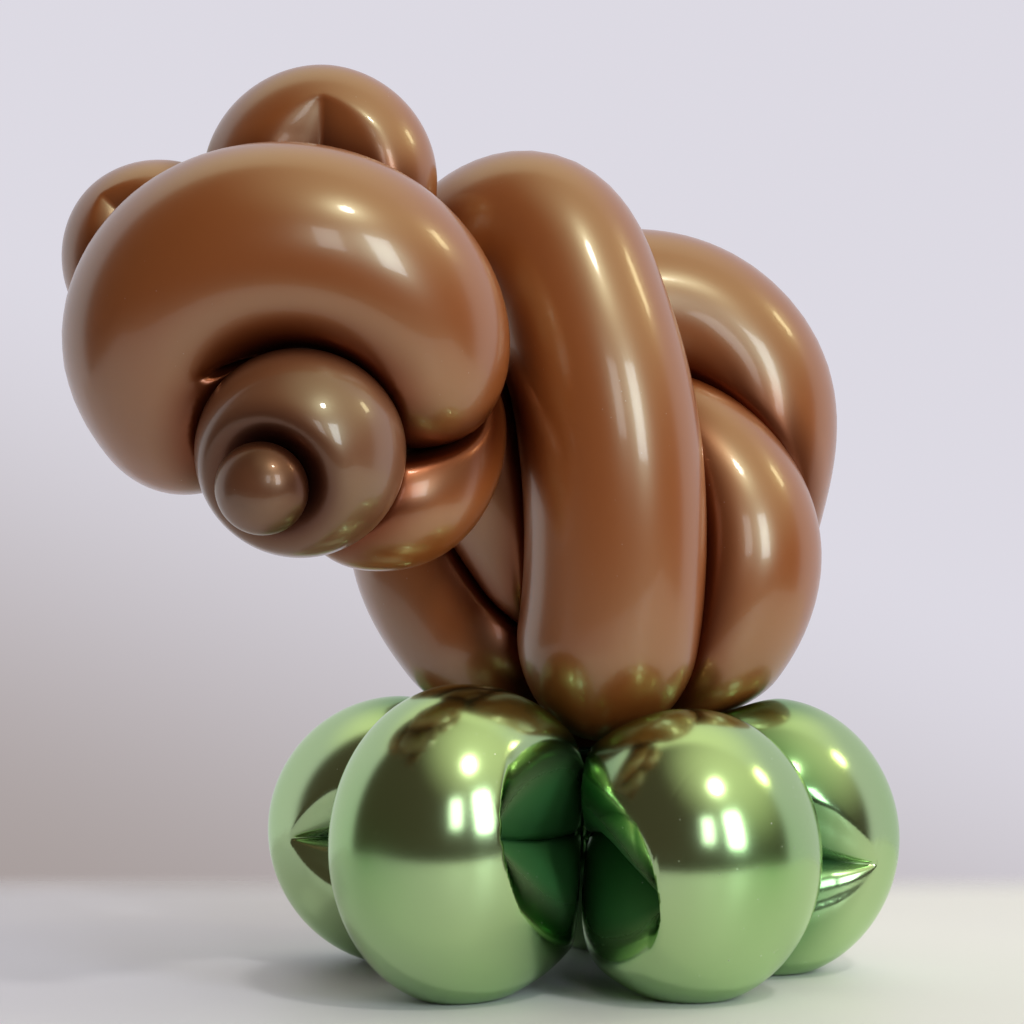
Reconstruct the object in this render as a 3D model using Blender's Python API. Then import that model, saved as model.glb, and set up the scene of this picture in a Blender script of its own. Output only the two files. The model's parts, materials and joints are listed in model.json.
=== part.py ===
"""Balloon bear: a bear twisted from brown balloon bubbles, on a ring of five folded green ones.

Metres, +Z up. The bear looks towards -Y, its face turned a little to -X. The origin is the middle of
the footprint, on the surface that the green bubbles rest on. Every bubble between two twists is an
object of its own. A bubble starts as a sphere whose points are moved out to its own round shape, and
are then pressed back wherever a neighbour pushes on it.
"""

import math

import bmesh
import bpy
import numpy as np

COLLECTION = "balloon_bear"

# How bubbles meet each other and the floor.
CLEARANCE = 0.0012  # left between two bubbles that press on each other
SEAM = 0.0035  # how far from a contact a bubble starts to round away from it
FOOT_DEPTH = 0.0020  # how far the floor flattens each green bubble
MUZZLE_FIRMNESS = 3  # a small bubble is hard, so the forehead and the chin give way to it
NOSE_FIRMNESS = 24  # and the muzzle gives way to a tiny one

# Coarseness of the solids: points round a bubble, and bands along it.
TUBE_MESH = (18, 18)
FOLDED_MESH = (22, 16)
EAR_MESH = (20, 13)
MUZZLE_MESH = (20, 13)
NOSE_MESH = (12, 8)
SPINE_SAMPLES = 48
BEND_SMOOTHING = 12
OUTLINE_SAMPLES = 3000
SECTION_SAMPLES = 241
BISECTIONS = 16

# The round shape of a free bubble.
TIP_POWER = 0.56  # how bluntly a tube's tip ends
EGG_POWER = 0.52  # how bluntly a folded bubble ends
INNER_BEND = 0.8  # how near the inside of a bend comes to the bend's own centre
BEND_BLEND = 0.6  # of the radius, over which the inside of a bend flattens
TIP_CORE = 0.55  # of a tip's length: a skin point nearer the twist is pushed out from here
EGG_CORE = (0.12, 0.72)  # of a folded bubble's length: its skin points are pushed out from between these

# Bent tubes: radius, lengths of the two tapered tips, and points that the centreline runs through.
TUBES = {
    "right_foreleg": dict(
        radius=0.0246,
        tips=(0.025, 0.029),
        route=[(-0.034, 0.012, 0.179), (-0.028, 0.006, 0.198), (-0.0155, 0.000, 0.203),
               (-0.003, -0.0090, 0.185), (0.0053, -0.0160, 0.154), (0.0078, -0.0160, 0.120),
               (0.0055, -0.0125, 0.092), (-0.0005, -0.0075, 0.0672)],
    ),
    "forehead": dict(
        radius=0.0288,
        tips=(0.026, 0.025),
        route=[(-0.084, -0.040, 0.1430), (-0.0983, -0.0445, 0.1562), (-0.1068, -0.0500, 0.1713),
               (-0.0997, -0.0568, 0.1860), (-0.0785, -0.0600, 0.1935), (-0.0572, -0.0555, 0.1863),
               (-0.0492, -0.0485, 0.1720), (-0.0603, -0.0410, 0.1505)],
    ),
    "chin": dict(
        radius=0.0178,
        tips=(0.018, 0.024),
        route=[(-0.072, -0.042, 0.136), (-0.062, -0.047, 0.132), (-0.049, -0.0455, 0.1315),
               (-0.0410, -0.037, 0.1405), (-0.039, -0.021, 0.153), (-0.037, -0.003, 0.164)],
    ),
    "chest": dict(
        radius=0.0195,
        tips=(0.020, 0.024),
        route=[(-0.037, 0.006, 0.171), (-0.030, 0.005, 0.148), (-0.017, 0.008, 0.123),
               (-0.003, 0.012, 0.092)],
    ),
    "left_foreleg": dict(
        radius=0.0236,
        tips=(0.026, 0.030),
        route=[(-0.034, 0.024, 0.169), (-0.042, 0.030, 0.142), (-0.0415, 0.028, 0.115),
               (-0.031, 0.023, 0.097), (-0.008, 0.010, 0.074)],
    ),
    "back": dict(
        radius=0.0250,
        tips=(0.026, 0.034),
        route=[(-0.025, 0.020, 0.173), (0.002, 0.036, 0.1835), (0.030, 0.042, 0.182),
               (0.0475, 0.042, 0.163), (0.0455, 0.041, 0.134), (0.031, 0.032, 0.096),
               (0.009, 0.013, 0.069)],
    ),
    "right_hind_leg": dict(
        radius=0.0236,
        tips=(0.024, 0.029),
        route=[(-0.001, 0.026, 0.140), (0.019, 0.022, 0.145), (0.036, 0.0155, 0.134),
               (0.0425, 0.0105, 0.1165), (0.034, 0.0105, 0.095), (0.008, 0.010, 0.077)],
    ),
    "left_hind_leg": dict(
        radius=0.0236,
        tips=(0.024, 0.030),
        route=[(0.000, 0.050, 0.150), (0.006, 0.070, 0.144), (0.010, 0.077, 0.123),
               (0.008, 0.068, 0.100), (0.003, 0.040, 0.080), (0.001, 0.014, 0.070)],
    ),
}

# The ring of folded bubbles: the turn from -Y, the length from the hub, the height and the width, how
# far the bubble's underside is off the floor, the share of its length at which its fold ends, and how
# far the fold's slit and the middle of its mouth are above the bubble's middle, at the hub and there.
HUB_RADIUS = 0.004
BASE = {
    "base_front_left": dict(turn=-38, length=0.088, height=0.0835, width=0.064, lift=0,
                            fold_end=0.770, slit=(-0.0015, 0.0055), mouth=(0.001, 0.0065)),
    "base_front_right": dict(turn=33, length=0.079, height=0.077, width=0.069, lift=0,
                             fold_end=0.840, slit=(0.006, -0.0125), mouth=(-0.003, -0.0065)),
    "base_right": dict(turn=94, length=0.083, height=0.077, width=0.064, lift=0,
                       fold_end=0.880, slit=(0.002, -0.0070), mouth=(0.002, -0.0070)),
    "base_left": dict(turn=-112, length=0.090, height=0.0755, width=0.066, lift=0.001,
                      fold_end=0.800, slit=(0.002, -0.0005), mouth=(0.002, -0.0005)),
    "base_back": dict(turn=172, length=0.089, height=0.077, width=0.066, lift=0,
                      fold_end=0.800, slit=(0.002, -0.002), mouth=(0.002, -0.002)),
}
WIDE_OPEN = ("base_front_left", "base_front_right")

# A fold: where its bubble is widest, its mouth's half height and how square the mouth's far end is, how
# near the slit comes to the bubble's middle, how soon it is that deep, how much its far end is a funnel,
# how much of the fall is a ledge at the lip, and how softly the lip is rounded.
ROUND_FOLD = dict(widest=0.57, gape=0.66, squareness=2.6, core=0.20, drop=0.45, funnel=0.25,
                  ledge=0.14, lip=0.17)
POINTED_FOLD = dict(widest=0.57, gape=0.60, squareness=1.5, core=0.15, drop=0.65, funnel=0.3,
                    ledge=0.0, lip=0.30)
EAR_FOLD = dict(widest=0.65, gape=0.72, squareness=2.0, core=0.12, drop=0.7, funnel=0.6,
                ledge=0.30, lip=0.26)
LEAST_GAPE = 1e-6
MOST_GAPE = 0.76  # of the bubble's half height there
GAPE_BLEND = 0.2  # of the bubble's half height, over which a mouth comes to that
LIP_GROWTH = 4  # how soon, from the fold's far end, its lip is fully rounded
SLIT_PLAY = 0.8  # of the mouth's half height, either way from its middle

# The ears, folded too: twist, the way out of the head, the way across the fold, and the three sizes.
EARS = {
    "right_ear": dict(
        twist=(-0.0735, -0.0265, 0.158), outward=(0.04, 0.03, 1.0), across=(1.0, -0.10, -0.04),
        length=0.0895, height=0.0628, width=0.043,
        fold_end=0.880, slit=(0.0005, 0.003), mouth=(0.003, 0.003),
    ),
    "left_ear": dict(
        twist=(-0.0755, -0.0245, 0.159), outward=(-0.72, 0.06, 0.70), across=(0.70, 0.10, 0.72),
        length=0.0805, height=0.0535, width=0.042,
        fold_end=0.915, slit=(0, 0), mouth=(0, 0),
    ),
}
MUZZLE_CENTRE = (-0.0728, -0.073, 0.1432)
MUZZLE_RADIUS = 0.0264
FACE = (-0.32, -0.87, -0.375)  # the way that the muzzle points
DIMPLE_DEPTH = 0.50  # of the muzzle's radius, behind the nose
DIMPLE_WIDTH = 0.57  # radians from the middle of the dimple
NOSE_RADIUS = 0.0117
NOSE_REACH = 0.0238  # from the middle of the muzzle to the middle of the nose

BROWN = (0.30, 0.135, 0.055, 1.0)
DARK_BROWN = (0.22, 0.095, 0.055, 1.0)
GREEN = (0.16, 0.40, 0.10, 1.0)


def unit(vector):
    vector = np.asarray(vector, float)
    return vector / np.linalg.norm(vector, axis=-1, keepdims=True)


def soft_min(a, b, width):
    """The smaller of the two, rounded over where they are nearly equal."""
    near = np.clip(width - np.abs(a - b), 0, None) / width
    return np.minimum(a, b) - near * near * width / 4


def lengths_along(*coordinates):
    """How far along a line each of its points is."""
    steps = np.sqrt(sum(np.diff(c) ** 2 for c in coordinates))
    return np.concatenate([[0.0], np.cumsum(steps)])


def columns_at(where, known, table):
    """Each column of a table, read off at the given places."""
    return np.stack([np.interp(where, known, column) for column in np.transpose(table)], axis=-1)


def spline_through(route, samples):
    """Points at even steps on the natural cubic spline through the route."""
    route = np.array(route, float)
    knots = lengths_along(*route.T)
    gaps = np.diff(knots)
    rate = np.diff(route, axis=0) / gaps[:, None]
    system = np.eye(len(route))
    change = np.zeros_like(route)
    for i in range(1, len(route) - 1):
        system[i, i - 1 : i + 2] = gaps[i - 1], 2 * (gaps[i - 1] + gaps[i]), gaps[i]
        change[i] = 6 * (rate[i] - rate[i - 1])
    bend = np.linalg.solve(system, change)
    at = np.linspace(0, knots[-1], 20 * samples)
    i = np.clip(np.searchsorted(knots, at) - 1, 0, len(gaps) - 1)
    gap = gaps[i][:, None]
    b = (at - knots[i])[:, None] / gap
    a = 1 - b
    bulge = ((a**3 - a) * bend[i] + (b**3 - b) * bend[i + 1]) * gap**2 / 6
    fine = a * route[i] + b * route[i + 1] + bulge
    travelled = lengths_along(*fine.T)
    return columns_at(np.linspace(0, travelled[-1], samples), travelled, fine)


class Tube:
    """A round bubble along a bent centreline, tapered to a twist at both ends."""

    firmness = 1

    def __init__(self, radius, tips, route):
        self.spine = spline_through(route, SPINE_SAMPLES)
        self.at = lengths_along(*self.spine.T)
        self.length = self.at[-1]
        self.radius = radius
        self.tips = tips
        self.radii = self.taper(self.at)
        self.ahead = unit(np.gradient(self.spine, self.at, axis=0))
        self.bend = np.gradient(self.ahead, self.at, axis=0)
        for _ in range(BEND_SMOOTHING):
            self.bend[1:-1] = (self.bend[:-2] + 2 * self.bend[1:-1] + self.bend[2:]) / 4
        start = np.cross(self.ahead[0], (0, 0, 1))
        if np.linalg.norm(start) < 0.2:
            start = np.cross(self.ahead[0], (0, 1, 0))
        aside = [unit(start)]
        for ahead in self.ahead[1:]:
            aside.append(unit(aside[-1] - ahead * np.dot(aside[-1], ahead)))
        self.aside = np.array(aside)

    def taper(self, at):
        start, end = self.tips
        from_start = np.clip((start - at) / start, 0, 1)
        from_end = np.clip((at - self.length + end) / end, 0, 1)
        return self.radius * np.clip((1 - from_start**2) * (1 - from_end**2), 0, 1) ** TIP_POWER

    def rays(self, along, round_):
        """For each point of a sphere: a place inside the bubble, the way out, and how far."""
        fine = np.linspace(0, self.length, OUTLINE_SAMPLES)
        outline = lengths_along(fine, self.taper(fine))
        at = np.interp(along * outline[-1], outline, fine)
        ahead = unit(columns_at(at, self.at, self.ahead))
        aside = columns_at(at, self.at, self.aside)
        aside = unit(aside - ahead * np.sum(aside * ahead, axis=1, keepdims=True))
        over = np.cross(ahead, aside)
        out = np.cos(round_)[:, None] * aside + np.sin(round_)[:, None] * over
        centre = columns_at(at, self.at, self.spine)
        inward = np.sum(out * columns_at(at, self.at, self.bend), axis=1)
        room = INNER_BEND / np.clip(inward, 1e-3, None)
        surface = centre + out * soft_min(self.taper(at), room, BEND_BLEND * self.radius)[:, None]
        start, end = self.tips
        held = np.clip(at, TIP_CORE * start, self.length - TIP_CORE * end)
        return away_from(columns_at(held, self.at, self.spine), surface)

    def field(self, points):
        """Roughly the distance from the bubble's skin, less than zero inside it."""
        legs = np.diff(self.spine, axis=0)
        best = np.full(len(points), np.inf)
        for i, leg in enumerate(legs):
            offset = points - self.spine[i]
            share = np.clip(offset @ leg / (leg @ leg), 0, 1)
            distance = np.linalg.norm(offset - share[:, None] * leg, axis=1)
            radius = self.radii[i] + share * (self.radii[i + 1] - self.radii[i])
            best = np.minimum(best, distance - radius)
        return best


class Folded:
    """A bubble bent double and twisted off at its two ends: egg-shaped, with a fold in each cheek."""

    firmness = 1

    def __init__(self, twist, outward, across, length, height, width, fold_end, slit, mouth, fold):
        self.twist = np.array(twist)
        self.out = unit(outward)
        self.up = unit(np.asarray(across) - self.out * np.dot(across, self.out))
        self.cheek = np.cross(self.up, self.out)
        self.length = length
        self.half_height = height / 2
        self.half_width = width / 2
        self.fold_end = fold_end
        self.slit = slit
        self.mouth = mouth
        self.fold = fold

    def swell(self, share):
        """The share of its full section that the bubble has at a share of its length."""
        widest = self.fold["widest"]
        back = np.clip((widest - share) / widest, 0, 1)
        front = np.clip((share - widest) / (1 - widest), 0, 1)
        return np.clip((1 - back**2) * (1 - front**2), 0, 1) ** EGG_POWER

    def mouth_at(self, share):
        """The fold at a share of the length: its slit's height, its mouth's middle and half height."""
        nearness = (share / self.fold_end) ** 2
        slit, middle = (
            (start + (end - start) * nearness) * self.swell(share) for start, end in (self.slit, self.mouth)
        )
        squareness = self.fold["squareness"]
        wanted = self.fold["gape"] * self.half_height * self.opening(share) ** (1 / squareness)
        most = MOST_GAPE * self.half_height * self.swell(share)
        gape = max(soft_min(wanted, most, GAPE_BLEND * self.half_height), 0)
        return np.clip(slit, middle - SLIT_PLAY * gape, middle + SLIT_PLAY * gape), middle, gape

    def opening(self, share):
        return max(1 - (share / self.fold_end) ** self.fold["squareness"], 0)

    def cheek_line(self, share, across):
        """How far the cheek stands out, at points across the fold, with the fold pressed in."""
        swell = max(self.swell(share), 1e-6)
        half_height = self.half_height * swell
        half_width = self.half_width * swell

        def round_cheek(height):
            return half_width * np.sqrt(np.clip(1 - (height / half_height) ** 2, 0, 1))

        slit, middle, gape = self.mouth_at(share)
        if gape < LEAST_GAPE:
            return round_cheek(across)
        fold, opening = self.fold, self.opening(share)
        deepest = half_width * (1 - (1 - fold["core"]) * opening ** fold["drop"])
        lip = middle + np.where(across >= slit, gape, -gape)
        away = (across - slit) / (lip - slit)
        within = np.clip(away, 0, 1)
        roll = (1 - (1 - within) ** 2) ** (0.5 + fold["funnel"] * (1 - opening))
        rise = (1 - fold["ledge"]) * roll + fold["ledge"] * within**4 + np.clip(away - 1, 0, None)
        wall = deepest + np.maximum(round_cheek(lip) - deepest, 0) * rise
        softness = fold["lip"] * self.half_width * min(LIP_GROWTH * opening, 1)
        return soft_min(round_cheek(across), wall, softness)

    def rays(self, along, round_):
        fine = np.linspace(0, 1, OUTLINE_SAMPLES)
        outline = lengths_along(fine * self.length, self.swell(fine) * self.half_height)
        shares = np.interp(along * outline[-1], outline, fine)
        surface = np.zeros((len(along), 3))
        centre = self.twist + np.clip(shares, *EGG_CORE)[:, None] * self.length * self.out
        # The four quarters of a section run from the fold to the top or the bottom.
        quarter = np.abs(np.arcsin(np.clip(np.sin(round_), -1, 1))) / (math.pi / 2)
        upper = np.where(np.sin(round_) >= 0, 1.0, -1.0)
        side = np.where(np.cos(round_) >= -1e-9, 1.0, -1.0)
        sweep = np.sin(np.linspace(0, math.pi / 2, SECTION_SAMPLES))
        for share in np.unique(np.round(shares, 9)):
            slit = self.mouth_at(share)[0]
            top = self.half_height * self.swell(share)
            for half in (1.0, -1.0):
                here = (np.abs(shares - share) < 1e-8) & (upper == half)
                across = slit + (half * top - slit) * sweep
                cheek = self.cheek_line(share, across)
                travelled = lengths_along(across, cheek)
                reached = quarter[here] * travelled[-1]
                surface[here] = (
                    self.twist
                    + share * self.length * self.out
                    + np.interp(reached, travelled, across)[:, None] * self.up
                    + (side[here] * np.interp(reached, travelled, cheek))[:, None] * self.cheek
                )
        return away_from(centre, surface)

    def field(self, points):
        offset = points - self.twist
        widest = self.fold["widest"] * self.length
        along = offset @ self.out - widest
        half_length = np.where(along < 0, widest, self.length - widest)
        scaled = np.stack(
            [along / half_length, offset @ self.up / self.half_height, offset @ self.cheek / self.half_width]
        )
        sizes = np.stack(
            [half_length, np.full(len(points), self.half_height), np.full(len(points), self.half_width)]
        )
        level = np.linalg.norm(scaled, axis=0)
        slope = np.linalg.norm(scaled / sizes, axis=0) + 1e-9
        return (level - 1) * level / slope


class Ball:
    """A round bubble, with a dimple where a small one is tied into it."""

    def __init__(self, centre, axis, radius, dimple=0.0, firmness=1):
        self.centre = np.array(centre)
        self.axis = unit(axis)
        self.radius = radius
        self.dimple = dimple
        self.firmness = firmness

    def rays(self, along, round_):
        side = unit(np.cross(self.axis, (0, 0, 1)))
        over = np.cross(side, self.axis)
        lean = along * math.pi
        out = (
            np.cos(lean)[:, None] * self.axis
            + (np.sin(lean) * np.cos(round_))[:, None] * side
            + (np.sin(lean) * np.sin(round_))[:, None] * over
        )
        reach = self.radius * (1 - self.dimple * np.exp(-((lean / DIMPLE_WIDTH) ** 4)))
        return away_from(self.centre + 0 * out, self.centre + out * reach[:, None])

    def field(self, points):
        return np.linalg.norm(points - self.centre, axis=1) - self.radius


def away_from(inside, surface):
    offset = surface - inside
    reach = np.linalg.norm(offset, axis=1)
    return inside, offset / np.maximum(reach, 1e-9)[:, None], reach


def pressed(bubble, others, inside, out, reach):
    """How far out the skin is once the neighbours press on it: they meet half way."""
    nearest = np.full(len(reach), np.inf)
    for other in others:
        give = CLEARANCE * (bubble.firmness + other.firmness) / 2

        def room(distance, which):
            points = inside[which] + out[which] * distance[:, None]
            return other.firmness * other.field(points) - bubble.firmness * bubble.field(points) - give

        touched = np.flatnonzero(room(reach + SEAM, np.arange(len(reach))) < 0)
        low = np.zeros(len(touched))
        high = reach[touched] + SEAM
        for _ in range(BISECTIONS):
            middle = (low + high) / 2
            clear = room(middle, touched) >= 0
            low = np.where(clear, middle, low)
            high = np.where(clear, high, middle)
        nearest[touched] = np.minimum(nearest[touched], low)
    firm = 1 / bubble.firmness
    return np.maximum(soft_min(reach, nearest, SEAM * firm), 0)


def material(name, colour, roughness, metallic):
    made = bpy.data.materials.new(name)
    made.use_nodes = True
    shader = made.node_tree.nodes["Principled BSDF"]
    shader.inputs["Base Color"].default_value = colour
    shader.inputs["Roughness"].default_value = roughness
    shader.inputs["Metallic"].default_value = metallic
    made.diffuse_color = colour
    return made


def skin(name, bubble, others, mesh_size, floor=None):
    """The mesh of one bubble: a sphere's points moved out to the bubble's pressed skin."""
    bm = bmesh.new()
    bmesh.ops.create_uvsphere(bm, u_segments=mesh_size[0], v_segments=mesh_size[1], radius=1)
    sphere = np.array([vertex.co for vertex in bm.verts], float)
    along = np.arccos(np.clip(sphere[:, 2], -1, 1)) / math.pi
    round_ = np.arctan2(sphere[:, 0], sphere[:, 1])
    inside, out, reach = bubble.rays(along, round_)
    points = inside + out * pressed(bubble, others, inside, out, reach)[:, None]
    if floor is not None:
        points[:, 2] = np.maximum(points[:, 2], floor)
    for vertex, point in zip(bm.verts, points):
        vertex.co = point
    if bm.calc_volume(signed=True) < 0:
        bmesh.ops.reverse_faces(bm, faces=bm.faces)
    mesh = bpy.data.meshes.new(name)
    bm.to_mesh(mesh)
    bm.free()
    mesh.shade_smooth()
    return mesh


def base_bubble(fold, turn, length, height, width, lift, fold_end, slit, mouth):
    outward = np.array([math.sin(math.radians(turn)), -math.cos(math.radians(turn)), 0.0])
    middle = np.array([0, 0, height / 2 + lift])
    twist = middle + HUB_RADIUS * outward
    return Folded(twist, outward, (0, 0, 1), length, height, width, fold_end, slit, mouth, fold)


def all_bubbles():
    """Name: (bubble, mesh size, whether it stands on the floor, material)."""
    brown = material("brown_balloon", BROWN, 0.18, 0.35)
    dark = material("dark_brown_balloon", DARK_BROWN, 0.22, 0.25)
    green = material("green_chrome_balloon", GREEN, 0.15, 1.0)
    found = {}
    for name, sizes in TUBES.items():
        found[name] = (Tube(**sizes), TUBE_MESH, False, brown)
    for name, sizes in EARS.items():
        found[name] = (Folded(fold=EAR_FOLD, **sizes), EAR_MESH, False, brown)
    for name, sizes in BASE.items():
        fold = ROUND_FOLD if name in WIDE_OPEN else POINTED_FOLD
        found[name] = (base_bubble(fold, **sizes), FOLDED_MESH, True, green)
    muzzle = Ball(MUZZLE_CENTRE, FACE, MUZZLE_RADIUS, dimple=DIMPLE_DEPTH, firmness=MUZZLE_FIRMNESS)
    tip = muzzle.centre + NOSE_REACH * muzzle.axis
    found["muzzle"] = (muzzle, MUZZLE_MESH, False, dark)
    found["nose"] = (Ball(tip, FACE, NOSE_RADIUS, firmness=NOSE_FIRMNESS), NOSE_MESH, False, dark)
    return found


def build():
    for old in list(bpy.data.objects):
        bpy.data.objects.remove(old, do_unlink=True)
    home = bpy.data.collections.new(COLLECTION)
    bpy.context.scene.collection.children.link(home)
    bubbles = all_bubbles()
    made = []
    for name, (bubble, mesh_size, stands, finish) in bubbles.items():
        others = [entry[0] for other, entry in bubbles.items() if other != name]
        floor = FOOT_DEPTH if stands else None
        piece = bpy.data.objects.new(name, skin(name, bubble, others, mesh_size, floor))
        piece.data.materials.append(finish)
        home.objects.link(piece)
        made.append(piece)
    corners = np.array([vertex.co for piece in made for vertex in piece.data.vertices])
    low, high = corners.min(axis=0), corners.max(axis=0)
    stand = bpy.data.objects.new("stand", None)
    stand.location = (-(low[0] + high[0]) / 2, -(low[1] + high[1]) / 2, -FOOT_DEPTH)
    home.objects.link(stand)
    for piece in made:
        piece.parent = stand


build()
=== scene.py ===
"""Balloon bear: the bear's brown bubbles and its ring of green ones, at full smoothness and finish.

Metres, +Z up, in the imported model's frame. Every bubble starts as a sphere whose points are moved out
to the bubble's own round shape, and are then pressed back wherever a neighbour pushes on it.
"""

import json
import math

import bmesh
import bpy
import numpy as np
from mathutils import Matrix, Vector


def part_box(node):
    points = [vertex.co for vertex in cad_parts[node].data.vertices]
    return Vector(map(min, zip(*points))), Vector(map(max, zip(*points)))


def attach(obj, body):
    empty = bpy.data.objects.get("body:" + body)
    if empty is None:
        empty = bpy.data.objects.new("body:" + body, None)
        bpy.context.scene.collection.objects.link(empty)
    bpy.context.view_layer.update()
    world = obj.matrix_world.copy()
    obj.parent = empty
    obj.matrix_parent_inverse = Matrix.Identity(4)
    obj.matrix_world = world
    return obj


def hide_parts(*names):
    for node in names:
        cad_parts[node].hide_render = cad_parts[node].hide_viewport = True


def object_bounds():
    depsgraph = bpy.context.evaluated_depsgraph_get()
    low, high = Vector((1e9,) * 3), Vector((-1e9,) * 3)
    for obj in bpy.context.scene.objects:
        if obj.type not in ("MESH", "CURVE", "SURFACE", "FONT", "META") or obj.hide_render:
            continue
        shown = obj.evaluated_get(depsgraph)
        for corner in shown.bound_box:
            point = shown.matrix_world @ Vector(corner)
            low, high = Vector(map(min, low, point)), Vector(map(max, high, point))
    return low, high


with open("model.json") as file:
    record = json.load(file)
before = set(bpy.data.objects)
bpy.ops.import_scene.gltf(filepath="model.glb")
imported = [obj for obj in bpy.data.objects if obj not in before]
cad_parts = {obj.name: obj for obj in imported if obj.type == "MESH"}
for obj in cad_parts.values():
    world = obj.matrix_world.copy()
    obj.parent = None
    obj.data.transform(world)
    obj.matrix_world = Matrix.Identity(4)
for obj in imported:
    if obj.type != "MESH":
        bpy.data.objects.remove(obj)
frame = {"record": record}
CAD_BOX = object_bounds()

# How bubbles meet each other and the floor.
CLEARANCE = 0.00035  # left between two bubbles that press on each other
SEAM = 0.0030  # how far from a contact a bubble starts to round away from it
FOOT_DEPTH = 0.0020  # how far the floor flattens each green bubble
MUZZLE_FIRMNESS = 3  # a small bubble is hard, so the forehead and the chin give way to it
NOSE_FIRMNESS = 24  # and the muzzle gives way to a tiny one

# Fineness of the skins: points round a bubble, and bands along it; then of the lines they are read from.
TUBE_MESH = (96, 110)
FOLDED_MESH = (176, 144)
EAR_MESH = (136, 104)
MUZZLE_MESH = (128, 96)
NOSE_MESH = (64, 48)
SPINE_SAMPLES = 48
SPINE_FINENESS = 20  # points read off a route for each point of the spine
BEND_SMOOTHING = 12
OUTLINE_SAMPLES = 3000
SECTION_SAMPLES = 241
BISECTIONS = 16

# The round shape of a free bubble.
TIP_POWER = 0.56  # how bluntly a tube's tip ends
EGG_POWER = 0.52  # how bluntly a folded bubble ends
INNER_BEND = 0.8  # how near the inside of a bend comes to the bend's own centre
BEND_BLEND = 0.6  # of the radius, over which the inside of a bend flattens
TIP_CORE = 0.55  # of a tip's length: a skin point nearer the twist is pushed out from here
EGG_CORE = (0.12, 0.72)  # of a folded bubble's length: its skin points are pushed out from between these

# Bent tubes: radius, lengths of the two tapered tips, and points that the centreline runs through.
TUBES = {
    "right_foreleg": dict(
        radius=0.0246,
        tips=(0.025, 0.029),
        route=[(-0.034, 0.012, 0.179), (-0.028, 0.006, 0.198), (-0.0155, 0.000, 0.203),
               (-0.003, -0.0090, 0.185), (0.0053, -0.0160, 0.154), (0.0078, -0.0160, 0.120),
               (0.0055, -0.0125, 0.092), (-0.0005, -0.0075, 0.0672)],
    ),
    "forehead": dict(
        radius=0.0288,
        tips=(0.026, 0.025),
        route=[(-0.084, -0.040, 0.1430), (-0.0983, -0.0445, 0.1562), (-0.1068, -0.0500, 0.1713),
               (-0.0997, -0.0568, 0.1860), (-0.0785, -0.0600, 0.1935), (-0.0572, -0.0555, 0.1863),
               (-0.0492, -0.0485, 0.1720), (-0.0603, -0.0410, 0.1505)],
    ),
    "chin": dict(
        radius=0.0178,
        tips=(0.018, 0.024),
        route=[(-0.072, -0.042, 0.136), (-0.062, -0.047, 0.132), (-0.049, -0.0455, 0.1315),
               (-0.0410, -0.037, 0.1405), (-0.039, -0.021, 0.153), (-0.037, -0.003, 0.164)],
    ),
    "chest": dict(
        radius=0.0195,
        tips=(0.020, 0.024),
        route=[(-0.037, 0.006, 0.171), (-0.030, 0.005, 0.148), (-0.017, 0.008, 0.123),
               (-0.003, 0.012, 0.092)],
    ),
    "left_foreleg": dict(
        radius=0.0236,
        tips=(0.026, 0.030),
        route=[(-0.034, 0.024, 0.169), (-0.042, 0.030, 0.142), (-0.0415, 0.028, 0.115),
               (-0.031, 0.023, 0.097), (-0.008, 0.010, 0.074)],
    ),
    "back": dict(
        radius=0.0250,
        tips=(0.026, 0.034),
        route=[(-0.025, 0.020, 0.173), (0.002, 0.036, 0.1835), (0.030, 0.042, 0.182),
               (0.0475, 0.042, 0.163), (0.0455, 0.041, 0.134), (0.031, 0.032, 0.096),
               (0.009, 0.013, 0.069)],
    ),
    "right_hind_leg": dict(
        radius=0.0236,
        tips=(0.024, 0.029),
        route=[(-0.001, 0.026, 0.140), (0.019, 0.022, 0.145), (0.036, 0.0155, 0.134),
               (0.0425, 0.0105, 0.1165), (0.034, 0.0105, 0.095), (0.008, 0.010, 0.077)],
    ),
    "left_hind_leg": dict(
        radius=0.0236,
        tips=(0.024, 0.030),
        route=[(0.000, 0.050, 0.150), (0.006, 0.070, 0.144), (0.010, 0.077, 0.123),
               (0.008, 0.068, 0.100), (0.003, 0.040, 0.080), (0.001, 0.014, 0.070)],
    ),
}

# The ring of folded bubbles: the turn from -Y, the length from the hub, the height and the width, how
# far the bubble's underside is off the floor, the share of its length at which its fold ends, and how
# far the fold's slit and the middle of its mouth are above the bubble's middle, at the hub and there.
HUB_RADIUS = 0.004
BASE = {
    "base_front_left": dict(turn=-38, length=0.088, height=0.0835, width=0.064, lift=0,
                            fold_end=0.770, slit=(-0.0015, 0.0055), mouth=(0.001, 0.0065)),
    "base_front_right": dict(turn=33, length=0.079, height=0.077, width=0.069, lift=0,
                             fold_end=0.840, slit=(0.006, -0.0125), mouth=(-0.003, -0.0065)),
    "base_right": dict(turn=94, length=0.083, height=0.077, width=0.064, lift=0,
                       fold_end=0.880, slit=(0.002, -0.0070), mouth=(0.002, -0.0070)),
    "base_left": dict(turn=-112, length=0.090, height=0.0755, width=0.066, lift=0.001,
                      fold_end=0.800, slit=(0.002, -0.0005), mouth=(0.002, -0.0005)),
    "base_back": dict(turn=172, length=0.089, height=0.077, width=0.066, lift=0,
                      fold_end=0.800, slit=(0.002, -0.002), mouth=(0.002, -0.002)),
}
WIDE_OPEN = ("base_front_left", "base_front_right")

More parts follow.
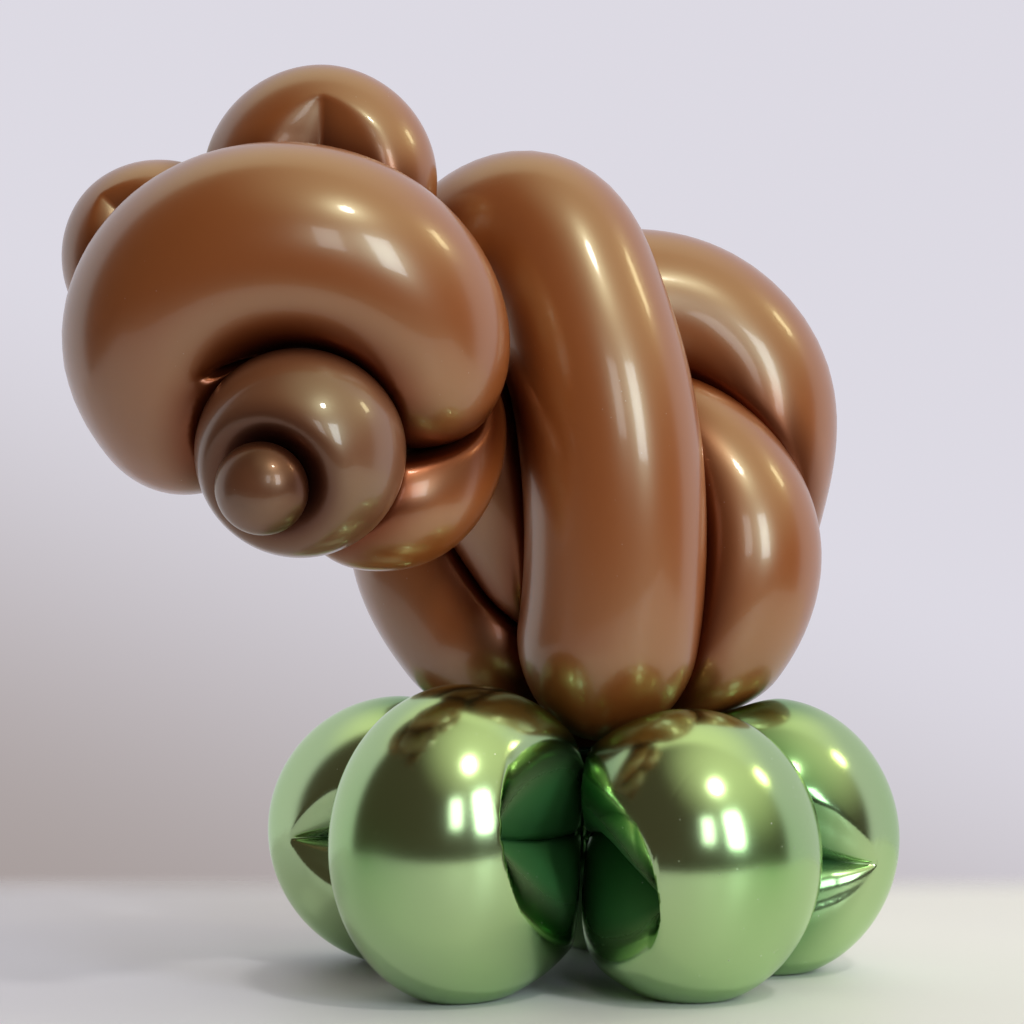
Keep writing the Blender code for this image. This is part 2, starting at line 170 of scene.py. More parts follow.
# A fold: where its bubble is widest, its mouth's half height and how square the mouth's far end is, how
# near the slit comes to the bubble's middle, how soon it is that deep, how much its far end is a funnel,
# how much of the fall is a ledge at the lip, and how softly the lip is rounded.
ROUND_FOLD = dict(widest=0.57, gape=0.66, squareness=2.6, core=0.20, drop=0.45, funnel=0.25,
                  ledge=0.14, lip=0.17)
POINTED_FOLD = dict(widest=0.57, gape=0.60, squareness=1.5, core=0.15, drop=0.65, funnel=0.3,
                    ledge=0.0, lip=0.30)
EAR_FOLD = dict(widest=0.65, gape=0.72, squareness=2.0, core=0.12, drop=0.7, funnel=0.6,
                ledge=0.30, lip=0.26)
LEAST_GAPE = 1e-6  # a mouth narrower than this is shut
MOST_GAPE = 0.76  # of the bubble's half height there
GAPE_BLEND = 0.2  # of the bubble's half height, over which a mouth comes to that
LIP_GROWTH = 4  # how soon, from the fold's far end, its lip is fully rounded
SLIT_PLAY = 0.8  # of the mouth's half height, either way from its middle

# The ears, folded too: twist, the way out of the head, the way across the fold, and the three sizes.
EARS = {
    "right_ear": dict(
        twist=(-0.0735, -0.0265, 0.158), outward=(0.04, 0.03, 1.0), across=(1.0, -0.10, -0.04),
        length=0.0895, height=0.0628, width=0.043,
        fold_end=0.880, slit=(0.0005, 0.003), mouth=(0.003, 0.003),
    ),
    "left_ear": dict(
        twist=(-0.0755, -0.0245, 0.159), outward=(-0.72, 0.06, 0.70), across=(0.70, 0.10, 0.72),
        length=0.0805, height=0.0535, width=0.042,
        fold_end=0.915, slit=(0, 0), mouth=(0, 0),
    ),
}
MUZZLE_CENTRE = (-0.0728, -0.073, 0.1432)
MUZZLE_RADIUS = 0.0264
FACE = (-0.32, -0.87, -0.375)  # the way that the muzzle points
DIMPLE_DEPTH = 0.50  # of the muzzle's radius, behind the nose
DIMPLE_WIDTH = 0.57  # radians from the middle of the dimple
NOSE_RADIUS = 0.0117
NOSE_REACH = 0.0238  # from the middle of the muzzle to the middle of the nose

# The eye's place before the bubbles settle, and the windows and lamps seen in the latex.
EYE = (-0.020, -0.80, 0.1278)
LENS = 102.375  # mm, on a sensor so many mm wide
SENSOR = 36.0
RISE = 0.00195  # of the view's width, that the lens is shifted up
LAMP_DISTANCE = 1.6
LAMP_AIM = (0, 0, 0.12)
LAMPS = {
    "ceiling_spot": dict(azimuth=33, elevation=48, size=(0.14, 0.14), power=4.4, colour=(1.0, 0.95, 0.84)),
    "window_near": dict(azimuth=38, elevation=17, size=(0.32, 0.62), power=6.4, colour=(0.84, 0.92, 1.0)),
    "window_far": dict(azimuth=15, elevation=18, size=(0.26, 0.50), power=1.8, colour=(0.88, 0.93, 1.0)),
    "yellow_lamp": dict(azimuth=95, elevation=37, size=(0.16, 0.24), power=1.5, colour=(1.0, 0.88, 0.50)),
}

# The room. Each pair says where one thing turns into the next, as a direction's height or the like.
ROOM_DARK = (0.085, 0.062, 0.048, 1)
ROOM_WARM = (1.16, 1.11, 0.79, 1)
ROOM_FLOOR = (0.06, 0.045, 0.038, 1)
WALL = (0.72, 0.70, 0.77, 1)
WALL_LOW = (0.39, 0.34, 0.33, 1)
GLOW = (65, 58)  # the way to the middle of the warm ceiling, as a lamp's azimuth and elevation
GLOW_SPREAD = (0.58, 1.14)  # the cosine of the angle from there
FLOOR_LINE = (0.02, -0.03)
CEILING_LINE = (0.55, 1.0)
WALL_LINE = (0.02, 0.20)
WALL_TURN = 0.08  # how much of its way across counts towards the wall
SHADE_LINE = (-1.2, 0.2)
SHADE_SLOPE = (6, 2.2)  # upwards and across, for the shade low on the wall

TABLE = (0.76, 0.755, 0.93, 1)
# Painted light: the table is painted brighter towards its right, where the windows light it.
TABLE_LIT_TONE = (0.94, 0.96, 1.0, 1)
TABLE_SPAN = ((-0.62, -0.36), (0.62, 0.23))  # its near left corner and its far right one
TABLE_FADE = (0.12, 0.015, 0.08)  # at its sides, its near edge and its far one
TABLE_LIT_SPAN = (-0.25, 0.15)  # where the painted light turns it brighter, from left to right
TABLE_CLOUDS = (9.0, 0.2)  # its blotches, in waves per metre, and how much they count
TABLE_GRAIN = (60.0, 0.1)
TABLE_ROUGHNESS = 0.45
TABLE_DROP = 0.0001  # below the bubbles

# Latex colours: full, gathered at a twist, and a painted shade colour for deep in a fold and beside a
# neighbour, where shade falls.
BROWN = ((0.32, 0.080, 0.016, 1), (0.26, 0.055, 0.010, 1), (0.13, 0.014, 0.003, 1))
DARK_BROWN = ((0.20, 0.070, 0.032, 1), (0.15, 0.046, 0.020, 1), (0.08, 0.016, 0.008, 1))
GREEN = ((0.455, 0.63, 0.32, 1), (0.26, 0.52, 0.17, 1), (0.045, 0.20, 0.06, 1))
PEARL = (0.84, 0.87, 0.60, 1)  # the tint of the brown latex's pearly sheen
CHROME_EDGE = (0.86, 0.96, 0.80, 1)  # the green latex's tint where it is seen edge on
TWIST_REACH = 0.30  # the share of a bubble, from a twist, over which the latex is gathered
POCKET = (0.0010, 0.0095)  # how far inside its free shape the painted shade of a fold starts, and where it is darkest

# Each latex: its colours, its sheen's tint and index of refraction, its finish, how dusty it is, and how
# far from a neighbour its painted shade starts.
FINISHES = {
    "brown_balloon": dict(
        colours=BROWN, tint=PEARL, ior=2.2, roughness=0.33, metallic=0.0,
        coat=0.52, coat_roughness=0.09, dustiness=0.25, shade_reach=0.014,
    ),
    "dark_brown_balloon": dict(
        colours=DARK_BROWN, tint=PEARL, ior=1.95, roughness=0.36, metallic=0.0,
        coat=0.55, coat_roughness=0.07, dustiness=0.2, shade_reach=0.012,
    ),
    "green_chrome_balloon": dict(
        colours=GREEN, tint=CHROME_EDGE, ior=1.5, roughness=0.18, metallic=1.0,
        coat=0.15, coat_roughness=0.03, dustiness=1.0, shade_reach=0.022,
    ),
}
COAT_IOR = 1.5

# How far the latex's colour goes towards the deeper one, or towards the painted shade one.
TWIST_DEPTH = 0.8
POCKET_DEPTH = 0.9
# Beside a neighbour the coat is dimmed by CLOSE_DEPTH too: painted shade on the sheen.
CLOSE_DEPTH = 0.8
CLOUD_DEPTH = 0.16

# Faint unevenness and dust: waves per metre, and the noise levels between which dust starts to settle.
CLOUDS = 38.0
GRAIN = 1400.0
DUST = (0.75, 0.76, 0.72, 1)
DUST_SPECKS = 420.0
DUST_GAPS = 310.0
DUST_PATCHES = 21.0
SPECK_EDGE = (0.10, 0.05)  # of the way to the next speck
GAP_EDGE = (0.52, 0.60)
PATCH_EDGE = (0.50, 0.66)
GRAIN_BUMPS = {"Strength": 0.1, "Distance": 0.00003}
SPECK_BUMP = 8  # how much higher a speck stands than the grain

# How much rougher or less metallic the latex gets.
ROUGH_CLOUDS = 0.04
ROUGH_GRAIN = 0.03
ROUGH_TWIST = 0.08
ROUGH_POCKET = 0.16
ROUGH_DUST = 0.35
POCKET_DULLING = 0.75  # of a metallic latex
CLOSE_SHINE = 0.8  # of a latex that isn't metallic, so that its sheen beside a neighbour takes on the painted shade colour


def unit(vector):
    vector = np.asarray(vector, float)
    return vector / np.linalg.norm(vector, axis=-1, keepdims=True)


def soft_min(a, b, width):
    """The smaller of the two, rounded over where they are nearly equal."""
    near = np.clip(width - np.abs(a - b), 0, None) / width
    return np.minimum(a, b) - near * near * width / 4


def lengths_along(*coordinates):
    """How far along a line each of its points is."""
    steps = np.sqrt(sum(np.diff(c) ** 2 for c in coordinates))
    return np.concatenate([[0.0], np.cumsum(steps)])


def columns_at(where, known, table):
    """Each column of a table, read off at the given places."""
    return np.stack([np.interp(where, known, column) for column in np.transpose(table)], axis=-1)


def spline_through(route, samples):
    """Points at even steps on the natural cubic spline through the route."""
    route = np.array(route, float)
    knots = lengths_along(*route.T)
    gaps = np.diff(knots)
    rate = np.diff(route, axis=0) / gaps[:, None]
    system = np.eye(len(route))
    change = np.zeros_like(route)
    for i in range(1, len(route) - 1):
        system[i, i - 1 : i + 2] = gaps[i - 1], 2 * (gaps[i - 1] + gaps[i]), gaps[i]
        change[i] = 6 * (rate[i] - rate[i - 1])
    bend = np.linalg.solve(system, change)
    at = np.linspace(0, knots[-1], SPINE_FINENESS * samples)
    i = np.clip(np.searchsorted(knots, at) - 1, 0, len(gaps) - 1)
    gap = gaps[i][:, None]
    b = (at - knots[i])[:, None] / gap
    a = 1 - b
    bulge = ((a**3 - a) * bend[i] + (b**3 - b) * bend[i + 1]) * gap**2 / 6
    fine = a * route[i] + b * route[i + 1] + bulge
    travelled = lengths_along(*fine.T)
    return columns_at(np.linspace(0, travelled[-1], samples), travelled, fine)


class Tube:
    """A round bubble along a bent centreline, tapered to a twist at both ends."""

    firmness = 1

    def __init__(self, radius, tips, route):
        self.spine = spline_through(route, SPINE_SAMPLES)
        self.at = lengths_along(*self.spine.T)
        self.length = self.at[-1]
        self.radius = radius
        self.tips = tips
        self.radii = self.taper(self.at)
        self.ahead = unit(np.gradient(self.spine, self.at, axis=0))
        self.bend = np.gradient(self.ahead, self.at, axis=0)
        for _ in range(BEND_SMOOTHING):
            self.bend[1:-1] = (self.bend[:-2] + 2 * self.bend[1:-1] + self.bend[2:]) / 4
        start = np.cross(self.ahead[0], (0, 0, 1))
        if np.linalg.norm(start) < 0.2:
            start = np.cross(self.ahead[0], (0, 1, 0))
        aside = [unit(start)]
        for ahead in self.ahead[1:]:
            aside.append(unit(aside[-1] - ahead * np.dot(aside[-1], ahead)))
        self.aside = np.array(aside)

    def taper(self, at):
        start, end = self.tips
        from_start = np.clip((start - at) / start, 0, 1)
        from_end = np.clip((at - self.length + end) / end, 0, 1)
        return self.radius * np.clip((1 - from_start**2) * (1 - from_end**2), 0, 1) ** TIP_POWER

    def rays(self, along, round_):
        """For each point of a sphere: a place inside the bubble, the way out, and how far."""
        fine = np.linspace(0, self.length, OUTLINE_SAMPLES)
        outline = lengths_along(fine, self.taper(fine))
        at = np.interp(along * outline[-1], outline, fine)
        ahead = unit(columns_at(at, self.at, self.ahead))
        aside = columns_at(at, self.at, self.aside)
        aside = unit(aside - ahead * np.sum(aside * ahead, axis=1, keepdims=True))
        over = np.cross(ahead, aside)
        out = np.cos(round_)[:, None] * aside + np.sin(round_)[:, None] * over
        centre = columns_at(at, self.at, self.spine)
        inward = np.sum(out * columns_at(at, self.at, self.bend), axis=1)
        room = INNER_BEND / np.clip(inward, 1e-3, None)
        surface = centre + out * soft_min(self.taper(at), room, BEND_BLEND * self.radius)[:, None]
        start, end = self.tips
        held = np.clip(at, TIP_CORE * start, self.length - TIP_CORE * end)
        return away_from(columns_at(held, self.at, self.spine), surface)

    def field(self, points):
        """Roughly the distance from the bubble's skin, less than zero inside it."""
        legs = np.diff(self.spine, axis=0)
        best = np.full(len(points), np.inf)
        for i, leg in enumerate(legs):
            offset = points - self.spine[i]
            share = np.clip(offset @ leg / (leg @ leg), 0, 1)
            distance = np.linalg.norm(offset - share[:, None] * leg, axis=1)
            radius = self.radii[i] + share * (self.radii[i + 1] - self.radii[i])
            best = np.minimum(best, distance - radius)
        return best


class Folded:
    """A bubble bent double and twisted off at its two ends: egg-shaped, with a fold in each cheek."""

    firmness = 1

    def __init__(self, twist, outward, across, length, height, width, fold_end, slit, mouth, fold):
        self.twist = np.array(twist)
        self.out = unit(outward)
        self.up = unit(np.asarray(across) - self.out * np.dot(across, self.out))
        self.cheek = np.cross(self.up, self.out)
        self.length = length
        self.half_height = height / 2
        self.half_width = width / 2
        self.fold_end = fold_end
        self.slit = slit
        self.mouth = mouth
        self.fold = fold

    def swell(self, share):
        """The share of its full section that the bubble has at a share of its length."""
        widest = self.fold["widest"]
        back = np.clip((widest - share) / widest, 0, 1)
        front = np.clip((share - widest) / (1 - widest), 0, 1)
        return np.clip((1 - back**2) * (1 - front**2), 0, 1) ** EGG_POWER

    def mouth_at(self, share):
        """The fold at a share of the length: its slit's height, its mouth's middle and half height."""
        nearness = (share / self.fold_end) ** 2
        slit, middle = (
            (start + (end - start) * nearness) * self.swell(share) for start, end in (self.slit, self.mouth)
        )
        squareness = self.fold["squareness"]
        wanted = self.fold["gape"] * self.half_height * self.opening(share) ** (1 / squareness)
        most = MOST_GAPE * self.half_height * self.swell(share)
        gape = max(soft_min(wanted, most, GAPE_BLEND * self.half_height), 0)
        return np.clip(slit, middle - SLIT_PLAY * gape, middle + SLIT_PLAY * gape), middle, gape

    def opening(self, share):
        return max(1 - (share / self.fold_end) ** self.fold["squareness"], 0)

    def cheek_line(self, share, across):
        """How far the cheek stands out, at points across the fold, with the fold pressed in."""
        swell = max(self.swell(share), 1e-6)
        half_height = self.half_height * swell
        half_width = self.half_width * swell

        def round_cheek(height):
            return half_width * np.sqrt(np.clip(1 - (height / half_height) ** 2, 0, 1))

        slit, middle, gape = self.mouth_at(share)
        if gape < LEAST_GAPE:
            return round_cheek(across)
        fold, opening = self.fold, self.opening(share)
        deepest = half_width * (1 - (1 - fold["core"]) * opening ** fold["drop"])
        lip = middle + np.where(across >= slit, gape, -gape)
        away = (across - slit) / (lip - slit)
        within = np.clip(away, 0, 1)
        roll = (1 - (1 - within) ** 2) ** (0.5 + fold["funnel"] * (1 - opening))
        rise = (1 - fold["ledge"]) * roll + fold["ledge"] * within**4 + np.clip(away - 1, 0, None)
        wall = deepest + np.maximum(round_cheek(lip) - deepest, 0) * rise
        softness = fold["lip"] * self.half_width * min(LIP_GROWTH * opening, 1)
        return soft_min(round_cheek(across), wall, softness)

    def rays(self, along, round_):
        fine = np.linspace(0, 1, OUTLINE_SAMPLES)
        outline = lengths_along(fine * self.length, self.swell(fine) * self.half_height)
        shares = np.interp(along * outline[-1], outline, fine)
        surface = np.zeros((len(along), 3))
        centre = self.twist + np.clip(shares, *EGG_CORE)[:, None] * self.length * self.out
        # The four quarters of a section run from the fold to the top or the bottom.
        quarter = np.abs(np.arcsin(np.clip(np.sin(round_), -1, 1))) / (math.pi / 2)
        upper = np.where(np.sin(round_) >= 0, 1.0, -1.0)
        side = np.where(np.cos(round_) >= -1e-9, 1.0, -1.0)
        sweep = np.sin(np.linspace(0, math.pi / 2, SECTION_SAMPLES))
        for share in np.unique(np.round(shares, 9)):
            slit = self.mouth_at(share)[0]
            top = self.half_height * self.swell(share)
            for half in (1.0, -1.0):
                here = (np.abs(shares - share) < 1e-8) & (upper == half)
                across = slit + (half * top - slit) * sweep
                cheek = self.cheek_line(share, across)
                travelled = lengths_along(across, cheek)
                reached = quarter[here] * travelled[-1]
                surface[here] = (
                    self.twist
                    + share * self.length * self.out
                    + np.interp(reached, travelled, across)[:, None] * self.up
                    + (side[here] * np.interp(reached, travelled, cheek))[:, None] * self.cheek
                )
        return away_from(centre, surface)

    def field(self, points):
        offset = points - self.twist
        widest = self.fold["widest"] * self.length
        along = offset @ self.out - widest
        half_length = np.where(along < 0, widest, self.length - widest)
        scaled = np.stack(
            [along / half_length, offset @ self.up / self.half_height, offset @ self.cheek / self.half_width]
        )
        sizes = np.stack(
            [half_length, np.full(len(points), self.half_height), np.full(len(points), self.half_width)]
        )
        level = np.linalg.norm(scaled, axis=0)
        slope = np.linalg.norm(scaled / sizes, axis=0) + 1e-9
        return (level - 1) * level / slope


class Ball:
    """A round bubble, with a dimple where a small one is tied into it."""

    def __init__(self, centre, axis, radius, dimple=0.0, firmness=1):
        self.centre = np.array(centre)
        self.axis = unit(axis)
        self.radius = radius
        self.dimple = dimple
        self.firmness = firmness

    def rays(self, along, round_):
        side = unit(np.cross(self.axis, (0, 0, 1)))
        over = np.cross(side, self.axis)
        lean = along * math.pi
        out = (
            np.cos(lean)[:, None] * self.axis
            + (np.sin(lean) * np.cos(round_))[:, None] * side
            + (np.sin(lean) * np.sin(round_))[:, None] * over
        )
        reach = self.radius * (1 - self.dimple * np.exp(-((lean / DIMPLE_WIDTH) ** 4)))
        return away_from(self.centre + 0 * out, self.centre + out * reach[:, None])

    def field(self, points):
        return np.linalg.norm(points - self.centre, axis=1) - self.radius


def away_from(inside, surface):
    offset = surface - inside
    reach = np.linalg.norm(offset, axis=1)
    return inside, offset / np.maximum(reach, 1e-9)[:, None], reach


def pressed(bubble, others, inside, out, reach):
    """How far out the skin is once the neighbours press on it: they meet half way."""
    nearest = np.full(len(reach), np.inf)
    for other in others:
        give = CLEARANCE * (bubble.firmness + other.firmness) / 2

        def room(distance, which):
            points = inside[which] + out[which] * distance[:, None]
            return other.firmness * other.field(points) - bubble.firmness * bubble.field(points) - give

        touched = np.flatnonzero(room(reach + SEAM, np.arange(len(reach))) < 0)
        low = np.zeros(len(touched))
        high = reach[touched] + SEAM
        for _ in range(BISECTIONS):
            middle = (low + high) / 2
            clear = room(middle, touched) >= 0
            low = np.where(clear, middle, low)
            high = np.where(clear, high, middle)
        nearest[touched] = np.minimum(nearest[touched], low)
    firm = 1 / bubble.firmness
    return np.maximum(soft_min(reach, nearest, SEAM * firm), 0)


def skin(name, bubble, others, beside, mesh_size, floor=None):
    """The mesh of one bubble; each point knows how near a twist, a pocket's floor and a neighbour it is."""
    bm = bmesh.new()
    bmesh.ops.create_uvsphere(bm, u_segments=mesh_size[0], v_segments=mesh_size[1], radius=1)
    sphere = np.array([vertex.co for vertex in bm.verts], float)
    along = np.arccos(np.clip(sphere[:, 2], -1, 1)) / math.pi
    round_ = np.arctan2(sphere[:, 0], sphere[:, 1])
    inside, out, reach = bubble.rays(along, round_)
    held = pressed(bubble, others, inside, out, reach)
    points = inside + out * held[:, None]
    if floor is not None:
        points[:, 2] = np.maximum(points[:, 2], floor)
    for vertex, point in zip(bm.verts, points):
        vertex.co = point
    if bm.calc_volume(signed=True) < 0:
        bmesh.ops.reverse_faces(bm, faces=bm.faces)
    mesh = bpy.data.meshes.new(name)
    bm.to_mesh(mesh)
    bm.free()
    mesh.shade_smooth()
    twist = np.clip(1 - np.minimum(along, 1 - along) / TWIST_REACH, 0, 1)
    pocket = np.clip(-bubble.field(points), 0, None)
    apart = np.clip(np.min([other.field(points) for other in beside], axis=0), 0, None)
    # pocket and apart drive the latex's painted shade in folds and beside neighbours.
    for title, values in (("twist", twist), ("pocket", pocket), ("apart", apart)):
        mesh.attributes.new(title, "FLOAT", "POINT").data.foreach_set("value", values.astype(np.float32))
    return mesh


def base_bubble(fold, turn, length, height, width, lift, fold_end, slit, mouth):
    outward = np.array([math.sin(math.radians(turn)), -math.cos(math.radians(turn)), 0.0])
    middle = np.array([0, 0, height / 2 + lift])
    twist = middle + HUB_RADIUS * outward
    return Folded(twist, outward, (0, 0, 1), length, height, width, fold_end, slit, mouth, fold)


def all_bubbles():
    """Name: (bubble, mesh size, whether it stands on the floor)."""
    found = {}
    for name, sizes in TUBES.items():
        found[name] = (Tube(**sizes), TUBE_MESH, False)
    for name, sizes in EARS.items():
        found[name] = (Folded(fold=EAR_FOLD, **sizes), EAR_MESH, False)
    for name, sizes in BASE.items():
        fold = ROUND_FOLD if name in WIDE_OPEN else POINTED_FOLD
        found[name] = (base_bubble(fold, **sizes), FOLDED_MESH, True)
    muzzle = Ball(MUZZLE_CENTRE, FACE, MUZZLE_RADIUS, dimple=DIMPLE_DEPTH, firmness=MUZZLE_FIRMNESS)
    tip = muzzle.centre + NOSE_REACH * muzzle.axis
    found["muzzle"] = (muzzle, MUZZLE_MESH, False)
    found["nose"] = (Ball(tip, FACE, NOSE_RADIUS, firmness=NOSE_FIRMNESS), NOSE_MESH, False)
    return found


def centre_of(low, high):
    return (np.array(low) + np.array(high)) / 2


def blow_up():
    """Every bubble's piece, settled where its CAD node is, and how far they were all moved."""
    bubbles = all_bubbles()
    meshes = {}
    for name, (bubble, mesh_size, stands) in bubbles.items():
        neighbours = [entry for other, entry in bubbles.items() if other != name]
        others = [entry[0] for entry in neighbours]
        # The green bubbles light up the feet, so only brown ones paint shade on the brown latex beside them.
        beside = [entry[0] for entry in neighbours if stands or not entry[2]]
        meshes[name] = skin(name, bubble, others, beside, mesh_size, FOOT_DEPTH if stands else None)
    gaps = []
    for name, mesh in meshes.items():
        corners = np.array([vertex.co for vertex in mesh.vertices])
        gaps.append(centre_of(*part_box(name)) - centre_of(corners.min(axis=0), corners.max(axis=0)))
    settle = np.mean(gaps, axis=0)
    settle[2] = CAD_BOX[0].z - FOOT_DEPTH
    pieces = {}
    for name, mesh in meshes.items():
        mesh.transform(Matrix.Translation(settle))
        piece = bpy.data.objects.new(name + "_bubble", mesh)
        bpy.context.scene.collection.objects.link(piece)
        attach(piece, "root")
        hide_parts(name)
        pieces[name] = piece
    return pieces, settle


class Wire:
    """A number on a shader's wire. Arithmetic on it adds Math nodes."""

    def __init__(self, paint, socket):
        self.paint = paint
        self.socket = socket

    def maths(self, operation, *values):
        return self.paint.node("ShaderNodeMath", {"operation": operation}, dict(enumerate(values)))["Value"]

    def __add__(self, other):
        return self.maths("ADD", self, other)

    def __radd__(self, other):
        return self.maths("ADD", other, self)

    def __sub__(self, other):
        return self.maths("SUBTRACT", self, other)

    def __rsub__(self, other):
        return self.maths("SUBTRACT", other, self)

    def __mul__(self, other):
        return self.maths("MULTIPLY", self, other)

    def __rmul__(self, other):
        return self.maths("MULTIPLY", other, self)

    def __pow__(self, other):
        return self.maths("POWER", self, other)

    def ramp(self, low, high):
        """0 below low and 1 above high, smooth between; the other way round if low is the larger."""
        settings = {"interpolation_type": "SMOOTHSTEP"}
        ends = {"From Min": min(low, high), "From Max": max(low, high)}
        if low > high:
            ends.update({"To Min": 1.0, "To Max": 0.0})
        return self.paint.node("ShaderNodeMapRange", settings, {"Value": self, **ends})["Result"]


class Paint:
    """A node tree that nodes are added to one at a time."""

    def __init__(self, tree):
        self.tree = tree
        tree.nodes.clear()

    def node(self, kind, settings=None, sockets=None):
        """Adds a node and returns its outputs by name."""
        made = self.tree.nodes.new(kind)
        for key, value in (settings or {}).items():
            setattr(made, key, value)
        for key, value in (sockets or {}).items():
            if isinstance(value, Wire):
                self.tree.links.new(value.socket, made.inputs[key])
            else:
                made.inputs[key].default_value = value
        return {output.name: Wire(self, output) for output in made.outputs if output.enabled}

    def mix(self, factor, a, b):
        """One colour turning into another."""
        found = {"Factor": factor, "A": a, "B": b}
        made = self.tree.nodes.new("ShaderNodeMix")
        made.data_type = "RGBA"
        for socket in made.inputs:
            if socket.enabled and socket.name in found:
                value = found[socket.name]
                if isinstance(value, Wire):
                    self.tree.links.new(value.socket, socket)
                else:
                    socket.default_value = value
        return Wire(self, next(output for output in made.outputs if output.enabled))

    def place(self):
        return self.node("ShaderNodeTexCoord")["Object"]

    def attribute(self, title):
        return self.node("ShaderNodeAttribute", {"attribute_name": title})["Fac"]

    def noise(self, scale, detail=2.0):
        sockets = {"Vector": self.place(), "Scale": scale, "Detail": detail}
        return self.node("ShaderNodeTexNoise", None, sockets)["Fac"]


def latex(name, colours, tint, ior, roughness, metallic, coat, coat_roughness, dustiness, shade_reach):
    """Balloon latex: deeper where it is gathered at a twist, with painted shade in its pockets and beside a
    neighbour.
    """
    full, deep, shade = colours
    made = bpy.data.materials.new(name)
    made.use_nodes = True
    paint = Paint(made.node_tree)
    twist = paint.attribute("twist")
    pocket = paint.attribute("pocket").ramp(*POCKET)
    neighbour_shade = paint.attribute("apart").ramp(shade_reach, 0.0)
    clouds = paint.noise(CLOUDS, 3.0) - 0.5
    grain = paint.noise(GRAIN, 1.0)
    colour = paint.mix(twist**2 * TWIST_DEPTH + clouds * CLOUD_DEPTH, full, deep)
    # Painted shade: the colour goes towards the shade colour deep in a fold's pocket and beside a neighbour.
    colour = paint.mix(pocket * POCKET_DEPTH, colour, shade)
    colour = paint.mix(neighbour_shade * CLOSE_DEPTH, colour, shade)
    specks = paint.node("ShaderNodeTexVoronoi", None, {"Vector": paint.place(), "Scale": DUST_SPECKS})
    patches = paint.noise(DUST_PATCHES, 2.0).ramp(*PATCH_EDGE)
    gaps = paint.noise(DUST_GAPS, 0.0).ramp(*GAP_EDGE)
    dust = specks["Distance"].ramp(*SPECK_EDGE) * gaps * patches * dustiness
    colour = paint.mix(dust, colour, DUST)
    rough = clouds * ROUGH_CLOUDS + (grain - 0.5) * ROUGH_GRAIN
    rough = rough + twist**3 * ROUGH_TWIST + pocket * ROUGH_POCKET + roughness
    # Beside a neighbour the sheen takes on the shade colour and the coat dims: painted shade on the
    # reflections.
    shine = neighbour_shade * (CLOSE_SHINE * (1 - metallic)) - pocket * (POCKET_DULLING * metallic) + metallic
    relief = paint.node("ShaderNodeBump", None, {**GRAIN_BUMPS, "Height": grain + dust * SPECK_BUMP})
    shader = paint.node("ShaderNodeBsdfPrincipled", None, {
        "Base Color": colour, "Roughness": rough + dust * ROUGH_DUST, "Metallic": shine,
        "Normal": relief["Normal"], "IOR": ior, "Specular Tint": tint,
        "Coat Weight": (1 - neighbour_shade * CLOSE_DEPTH) * coat, "Coat Roughness": coat_roughness,
        "Coat IOR": COAT_IOR,
    })
    paint.node("ShaderNodeOutputMaterial", None, {"Surface": shader["BSDF"]})
    return made


def table_top():
    """A pale table whose near edge is crisp and whose other edges fade away."""
    near, far = (Vector(corner) for corner in TABLE_SPAN)
    side_fade, near_fade, far_fade = TABLE_FADE
    height = CAD_BOX[0].z - TABLE_DROP
    bm = bmesh.new()
    bmesh.ops.create_grid(bm, x_segments=8, y_segments=8, size=0.5)
    middle, span = (near + far) / 2, far - near
    for vertex in bm.verts:
        vertex.co = (middle.x + span.x * vertex.co.x, middle.y + span.y * vertex.co.y, height)
    mesh = bpy.data.meshes.new("table_top")
    bm.to_mesh(mesh)
    bm.free()
    made = bpy.data.materials.new("table_top")
    made.use_nodes = True
    paint = Paint(made.node_tree)
    axes = paint.node("ShaderNodeSeparateXYZ", None, {"Vector": paint.place()})
    across, ahead = axes["X"], axes["Y"]
    clouds = (paint.noise(TABLE_CLOUDS[0], 2.0) - 0.5) * TABLE_CLOUDS[1]
    # Painted light: brighter towards the right, where the windows fall on it; the clouds are random tone.
    tone = paint.mix(across.ramp(*TABLE_LIT_SPAN) + clouds, TABLE, TABLE_LIT_TONE)
    sides = across.ramp(near.x, near.x + side_fade) * across.ramp(far.x, far.x - side_fade)
    ends = ahead.ramp(near.y, near.y + near_fade) * ahead.ramp(far.y, far.y - far_fade)
    rough = paint.noise(TABLE_GRAIN[0]) * TABLE_GRAIN[1] + TABLE_ROUGHNESS
    shader = paint.node("ShaderNodeBsdfPrincipled", None, {
        "Base Color": tone, "Roughness": rough, "Alpha": sides * ends,
    })
    paint.node("ShaderNodeOutputMaterial", None, {"Surface": shader["BSDF"]})
    mesh.materials.append(made)
    table = bpy.data.objects.new("table_top", mesh)
    bpy.context.scene.collection.objects.link(table)


def way_to(azimuth, elevation):
    """A direction; azimuth 0 is in front of the bear and 90 on its left, towards +X."""
    turn, rise = math.radians(azimuth), math.radians(elevation)
    return Vector((math.sin(turn) * math.cos(rise), -math.cos(turn) * math.cos(rise), math.sin(rise)))


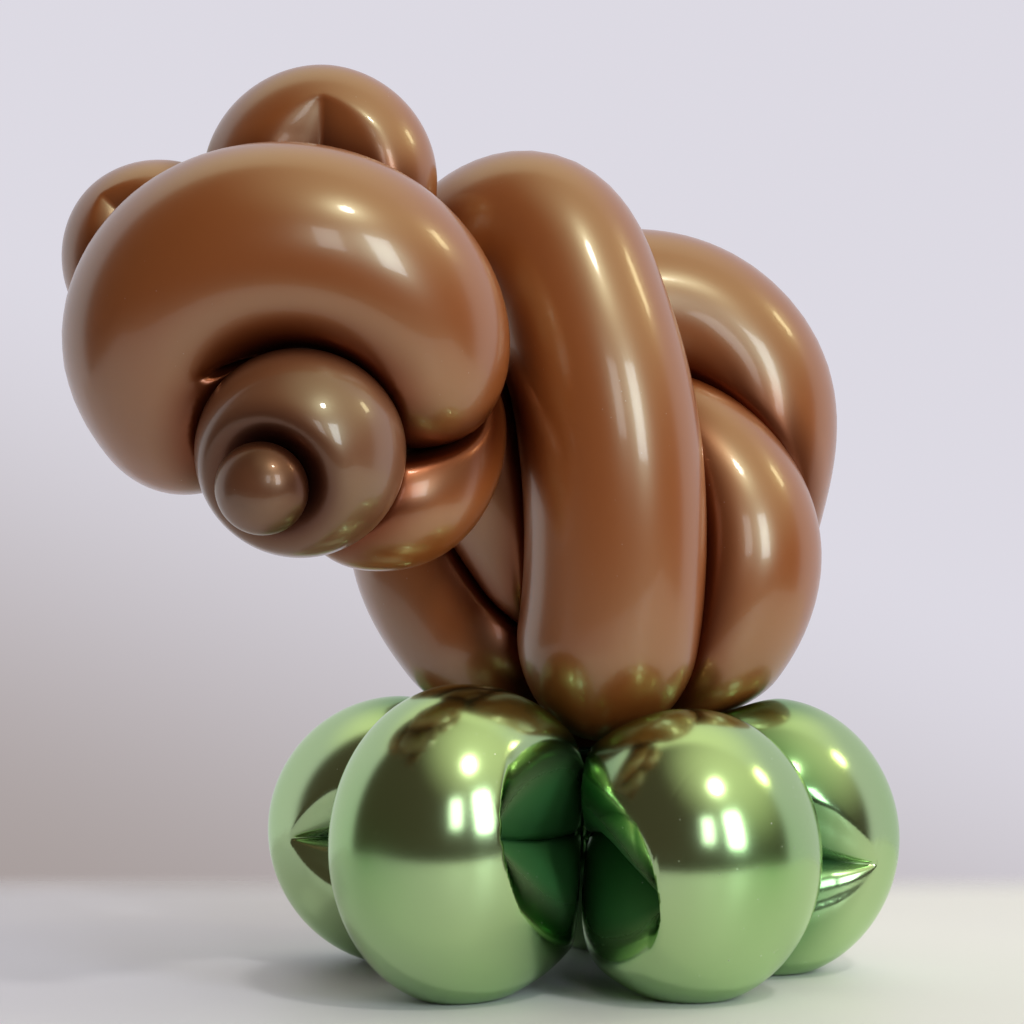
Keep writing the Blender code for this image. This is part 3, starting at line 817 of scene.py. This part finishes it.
def room():
    """Pale wall behind, dark room with a warm ceiling in front; the eye sees the pale wall all round."""
    world = bpy.data.worlds.new("room")
    world.use_nodes = True
    bpy.context.scene.world = world
    paint = Paint(world.node_tree)
    towards = paint.node("ShaderNodeTexCoord")["Generated"]
    axes = paint.node("ShaderNodeSeparateXYZ", None, {"Vector": towards})
    across, ahead, up = axes["X"], axes["Y"], axes["Z"]
    facing = {0: towards, 1: tuple(way_to(*GLOW))}
    glow = paint.node("ShaderNodeVectorMath", {"operation": "DOT_PRODUCT"}, facing)["Value"]
    indoors = paint.mix(glow.ramp(*GLOW_SPREAD), ROOM_DARK, ROOM_WARM)
    indoors = paint.mix(up.ramp(*FLOOR_LINE), indoors, ROOM_FLOOR)
    behind = paint.mix(up.ramp(*CEILING_LINE), WALL, ROOM_WARM)
    around = paint.mix((ahead + across * WALL_TURN).ramp(*WALL_LINE), indoors, behind)
    upwards, sideways = SHADE_SLOPE
    seen = paint.mix((up * upwards + across * sideways).ramp(*SHADE_LINE), WALL_LOW, WALL)
    direct = paint.node("ShaderNodeLightPath")["Is Camera Ray"]
    light = paint.node("ShaderNodeBackground", None, {"Color": paint.mix(direct, around, seen)})
    paint.node("ShaderNodeOutputWorld", None, {"Surface": light["Background"]})


def lamp(name, azimuth, elevation, size, power, colour):
    """A flat light that faces the bear."""
    data = bpy.data.lights.new(name, "AREA")
    data.shape = "ELLIPSE" if size[0] == size[1] else "RECTANGLE"
    data.size, data.size_y = size
    data.energy = power
    data.color = colour
    made = bpy.data.objects.new(name, data)
    away = way_to(azimuth, elevation)
    made.location = Vector(LAMP_AIM) + away * LAMP_DISTANCE
    made.rotation_euler = away.to_track_quat("Z", "Y").to_euler()
    bpy.context.scene.collection.objects.link(made)


def camera(settle):
    data = bpy.data.cameras.new("eye")
    data.lens = LENS
    data.sensor_width = SENSOR
    data.shift_y = RISE
    made = bpy.data.objects.new("eye", data)
    made.location = np.array(EYE) + settle
    made.rotation_euler = (math.pi / 2, 0, 0)
    bpy.context.scene.collection.objects.link(made)
    bpy.context.scene.camera = made


def main():
    pieces, settle = blow_up()
    finishes = {name: latex(name, **finish) for name, finish in FINISHES.items()}
    slots = {part["node"]: part["material_slot"] for part in frame["record"]["subparts"]}
    for name, piece in pieces.items():
        piece.data.materials.append(finishes[slots[name]])
    table_top()
    room()
    for name, sizes in LAMPS.items():
        lamp(name, **sizes)
    camera(settle)
    bpy.context.scene.view_settings.view_transform = "Standard"


main()
